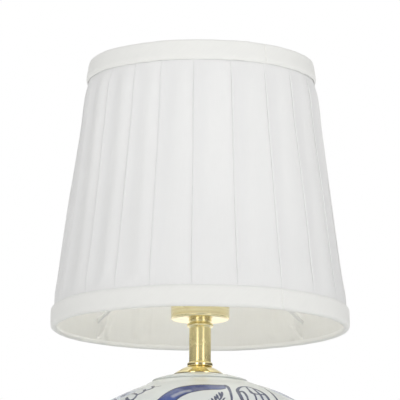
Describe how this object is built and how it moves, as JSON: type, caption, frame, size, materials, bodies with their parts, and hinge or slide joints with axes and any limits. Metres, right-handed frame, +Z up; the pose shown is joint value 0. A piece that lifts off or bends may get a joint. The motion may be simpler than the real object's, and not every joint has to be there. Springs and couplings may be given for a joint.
{
  "type": "ginger jar table lamp",
  "caption": "Table lamp with a porcelain ginger jar body, brass neck and knife-pleated tapered shade that turns on its lampholder",
  "frame": {"origin": "centre of the base's underside, on the table", "axes": "+Z up along the lamp's axis; -Y is the front, and the cord inlet is at the back, +Y; +X is the viewer's right"},
  "size_m": [0.25, 0.25, 0.5],
  "materials": {
    "cover_fabric": "pleated satin cloth",
    "lining_fabric": "smooth matt cloth",
    "trim_fabric": "smooth bias tape",
    "frame_wire": "satin",
    "brass": "polished",
    "contact_brass": "plain",
    "painted_porcelain": "glossy glaze with blue painting",
    "white_porcelain": "glossy glaze",
    "holder_plastic": "satin",
    "ring_plastic": "satin",
    "steel": "zinc plated",
    "rubber": "matt",
    "felt": "felt",
    "opal_glass": "opal",
    "clear_glass": "clear",
    "cap_metal": "satin",
    "filament_wire": "plain"
  },
  "bodies": {
    "stand": {"base_felt_pad": "felt", "base_plinth": "brass", "cord_grommet": "rubber", "base_seat_gasket": "rubber", "bottom_washer": "steel", "lock_washer": "steel", "bottom_nut": "steel", "threaded_rod": "steel", "jar_body": "painted_porcelain", "lid_gasket": "rubber", "jar_lid": "white_porcelain", "cap_gasket": "rubber", "vase_cap": "brass", "neck_lower_ring": "brass", "neck_tube": "brass", "neck_upper_ring": "brass", "holder_cup": "brass", "holder_nipple_nut": "steel", "holder_body": "holder_plastic", "holder_core": "holder_plastic", "terminal_screws": "contact_brass", "screw_shell": "contact_brass", "shade_seat_ring": "ring_plastic"},
    "shade": {"shade_fitter_ring": "frame_wire", "shade_arms": "frame_wire", "shade_top_ring": "frame_wire", "shade_bottom_ring": "frame_wire", "shade_ribs": "frame_wire", "shade_lining": "lining_fabric", "shade_cover": "cover_fabric", "shade_top_trim": "trim_fabric", "shade_bottom_trim": "trim_fabric"},
    "lock_ring": {"shade_lock_ring": "ring_plastic"},
    "tongue": {"centre_contact": "contact_brass"},
    "bulb_foot": {"bulb_contact": "contact_brass"},
    "bulb": {"bulb_cap": "cap_metal", "bulb_glass": "opal_glass", "bulb_stem": "clear_glass", "bulb_filament": "filament_wire"}
  },
  "joints": [
    {"name": "shade_swivel", "type": "hinge", "parent": "stand", "child": "shade", "pos_m": [0, 0, 0.3354], "axis": [0, 0, 1], "continuous": true},
    {"name": "lock_ring_turn", "type": "hinge", "parent": "stand", "child": "lock_ring", "pos_m": [0, 0, 0.339], "axis": [0, 0, 1], "continuous": true},
    {"name": "tongue_press", "type": "hinge", "parent": "stand", "child": "tongue", "pos_m": [-0.00835, 0, 0.3107], "axis": [0, 1, 0], "range_deg": [0, 5], "stiffness_Nm_per_rad": 0.05},
    {"name": "bulb_lift", "type": "slide", "parent": "stand", "child": "bulb_foot", "axis": [0, 0, 1], "range_m": [0, 0.0182]},
    {"name": "bulb_unscrew", "type": "hinge", "parent": "bulb_foot", "child": "bulb", "pos_m": [0, 0, 0.33], "axis": [0, 0, 1], "range_deg": [0, 1800]}
  ],
  "couplings": [
    {"joint": "bulb_lift", "follows": "bulb_unscrew", "m_per_rad": 0.00057614}
  ]
}
